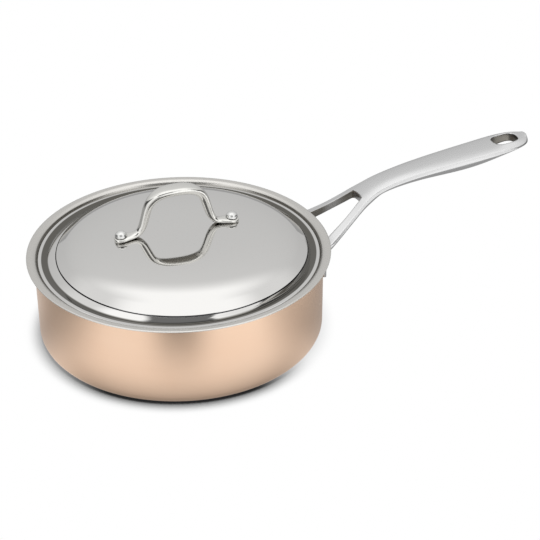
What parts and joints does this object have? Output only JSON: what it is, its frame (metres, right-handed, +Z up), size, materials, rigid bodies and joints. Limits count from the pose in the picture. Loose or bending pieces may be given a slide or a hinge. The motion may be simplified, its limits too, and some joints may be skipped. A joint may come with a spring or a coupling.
{
  "type": "saute pan",
  "caption": "Straight-sided saute pan with a copper outside, a flared steel rim, a long forked steel handle with a hanging slot, and a drop-in domed lid with a strap handle.",
  "frame": {"origin": "centre of the base's underside, on the pan's axis", "axes": "+Z up along the pan's axis, +X along the long handle from the pan's axis to its tip, +Y across the handle"},
  "size_m": [0.4768, 0.258, 0.1339],
  "materials": {
    "copper": "satin brushed copper",
    "aluminium": "plain rolled sheet",
    "rim_steel": "polished stainless steel with a satin rim",
    "lid_steel": "mirror polished stainless steel",
    "strap_steel": "polished cast stainless steel",
    "cast_steel": "satin cast stainless steel",
    "rivet_steel": "polished stainless steel"
  },
  "bodies": {
    "pan": {"copper_shell": "copper", "aluminium_core": "aluminium", "steel_liner": "rim_steel", "long_handle": "cast_steel", "handle_rivet_1": "rivet_steel", "handle_rivet_2": "rivet_steel", "handle_rivet_3": "rivet_steel", "handle_rivet_4": "rivet_steel"},
    "lid": {"lid_shell": "lid_steel", "lid_strap": "strap_steel", "lid_rivet_left": "rivet_steel", "lid_rivet_right": "rivet_steel"}
  },
  "joints": [
    {"name": "lid_lift", "type": "slide", "parent": "pan", "child": "lid", "axis": [0, 0, 1], "range_m": [0, 0.12]}
  ]
}
